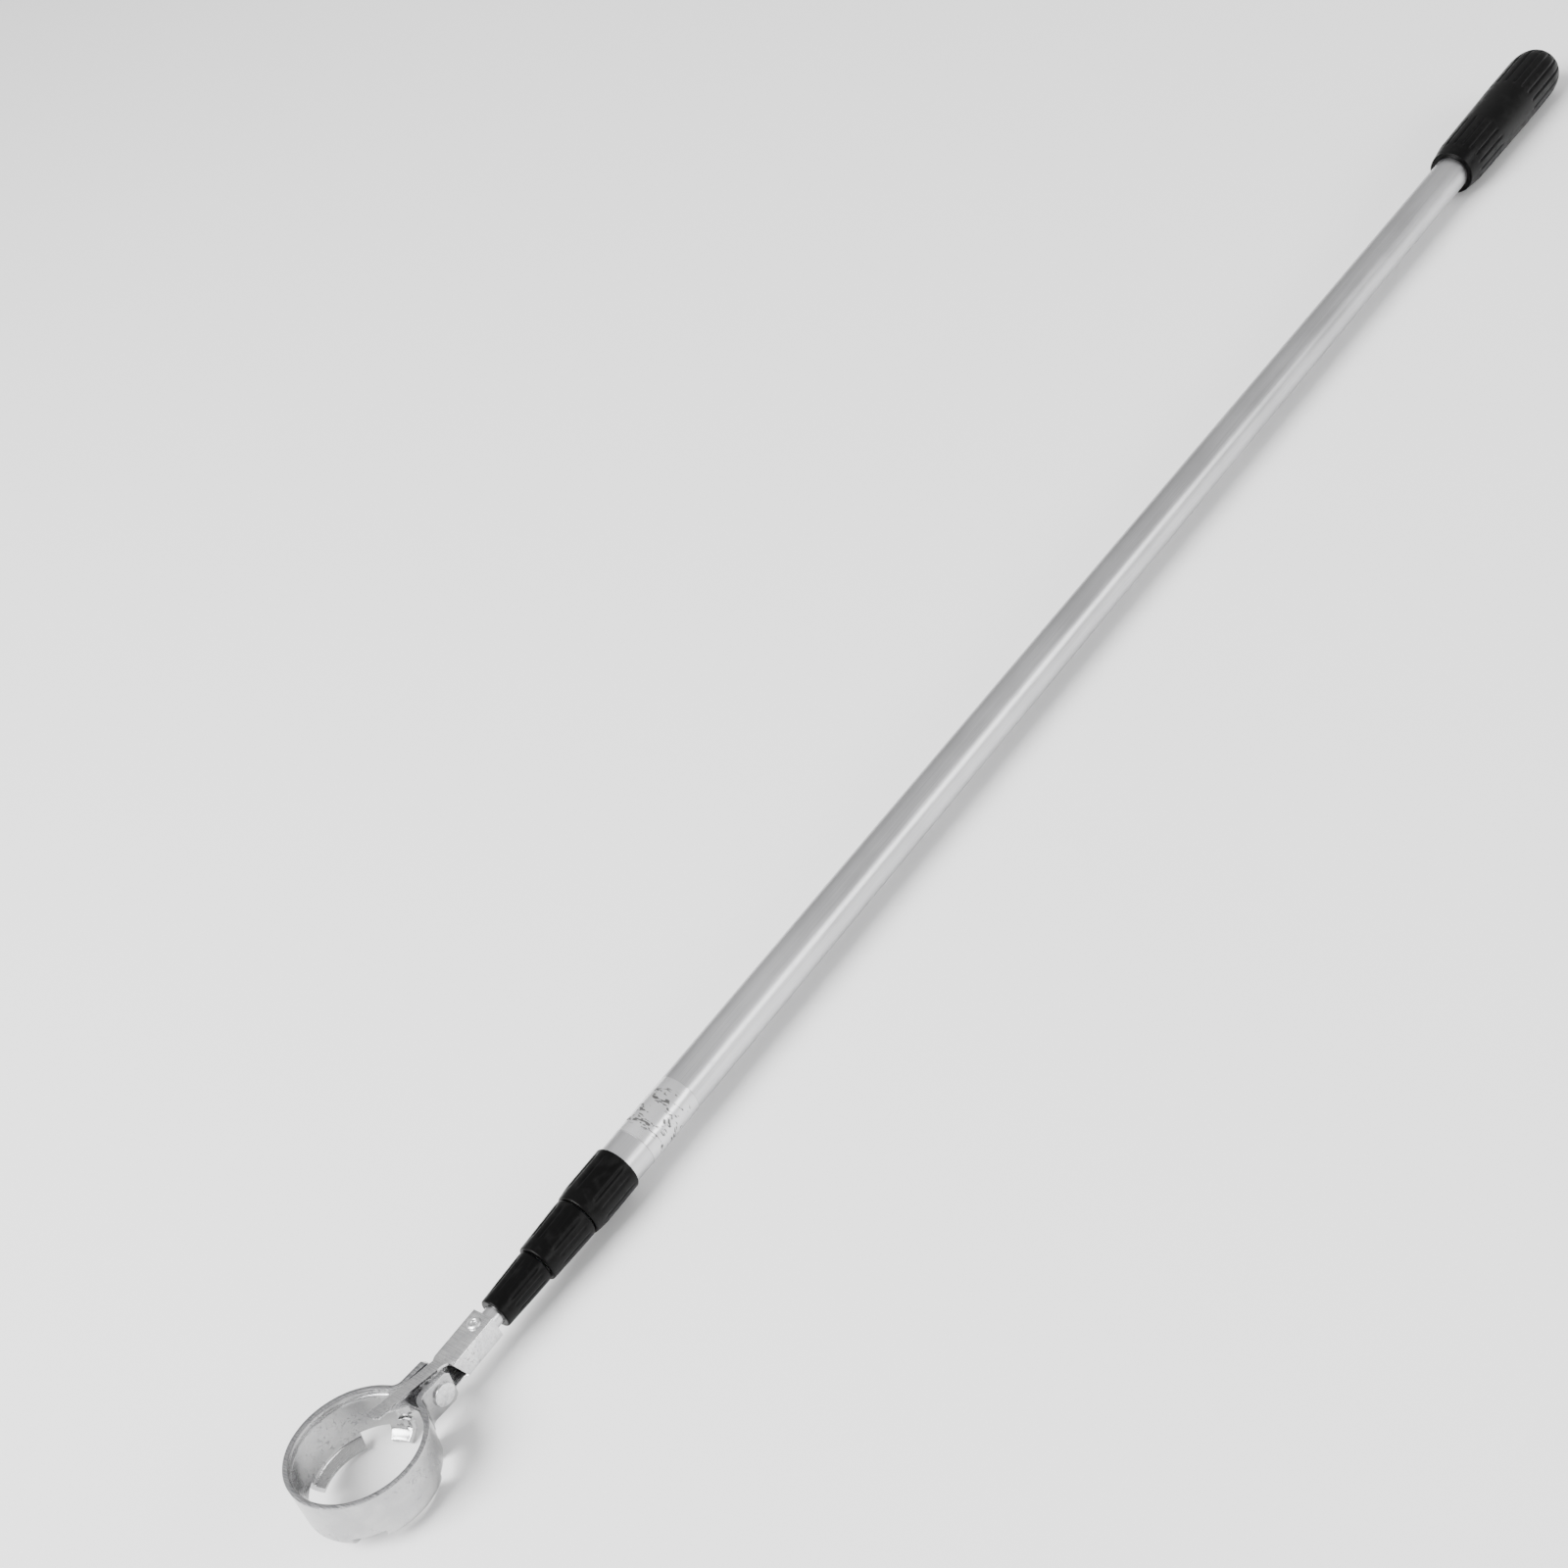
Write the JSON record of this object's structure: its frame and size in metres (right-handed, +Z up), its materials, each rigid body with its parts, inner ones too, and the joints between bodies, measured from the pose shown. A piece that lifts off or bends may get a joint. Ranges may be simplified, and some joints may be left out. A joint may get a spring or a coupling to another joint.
{
  "type": "golf ball retriever",
  "caption": "Telescopic golf ball retriever with twist-lock tubes, a fluted grip and a hinged C-shaped cup that a bent finger closes over the ball.",
  "frame": {"origin": "on the floor under the middle of the closed, lying retriever", "axes": "+X along the pole from the cup to the grip, +Z up, the cup's open front faces +Z, -Y is the side of the broad rivet head"},
  "size_m": [1.0494, 0.055, 0.0294],
  "materials": {
    "outer_aluminium": "satin anodised",
    "inner_aluminium": "satin drawn tube",
    "black_plastic": "semi-gloss moulded",
    "lock_plastic": "plain moulded",
    "plated_steel": "zinc plated, drawn and sawn",
    "rivet_steel": "bright plated",
    "label_film": "silver printed film"
  },
  "bodies": {
    "outer_pole": {"grip": "black_plastic", "tube_end_plug": "lock_plastic", "tube_1": "outer_aluminium", "label": "label_film", "collar_1": "black_plastic"},
    "expander_2": {"lock_expander_2": "lock_plastic"},
    "second_tube": {"tube_2": "inner_aluminium", "collar_2": "black_plastic", "lock_plug_2": "lock_plastic"},
    "expander_3": {"lock_expander_3": "lock_plastic"},
    "third_tube": {"tube_3": "inner_aluminium", "collar_3": "black_plastic", "lock_plug_3": "lock_plastic"},
    "expander_4": {"lock_expander_4": "lock_plastic"},
    "head_tube": {"tube_4": "inner_aluminium", "lock_plug_4": "lock_plastic", "arm": "plated_steel", "arm_rivet": "rivet_steel"},
    "cup": {"cup": "plated_steel", "pivot_rivet": "rivet_steel"}
  },
  "joints": [
    {"name": "second_slide", "type": "slide", "parent": "outer_pole", "child": "expander_2", "axis": [-1, 0, 0], "range_m": [0, 0.78]},
    {"name": "second_twist", "type": "hinge", "parent": "expander_2", "child": "second_tube", "pos_m": [0.4796, 0, 0.0147], "axis": [-1, 0, 0], "range_deg": [0, 180]},
    {"name": "third_slide", "type": "slide", "parent": "second_tube", "child": "expander_3", "axis": [-1, 0, 0], "range_m": [0, 0.768]},
    {"name": "third_twist", "type": "hinge", "parent": "expander_3", "child": "third_tube", "pos_m": [0.443, 0, 0.0147], "axis": [-1, 0, 0], "range_deg": [0, 180]},
    {"name": "head_slide", "type": "slide", "parent": "third_tube", "child": "expander_4", "axis": [-1, 0, 0], "range_m": [0, 0.757]},
    {"name": "head_twist", "type": "hinge", "parent": "expander_4", "child": "head_tube", "pos_m": [0.4064, 0, 0.0147], "axis": [-1, 0, 0], "range_deg": [0, 180]},
    {"name": "cup_swing", "type": "hinge", "parent": "head_tube", "child": "cup", "pos_m": [-0.4613, 0, 0.0152], "axis": [0, -1, 0], "range_deg": [0, 100]}
  ]
}
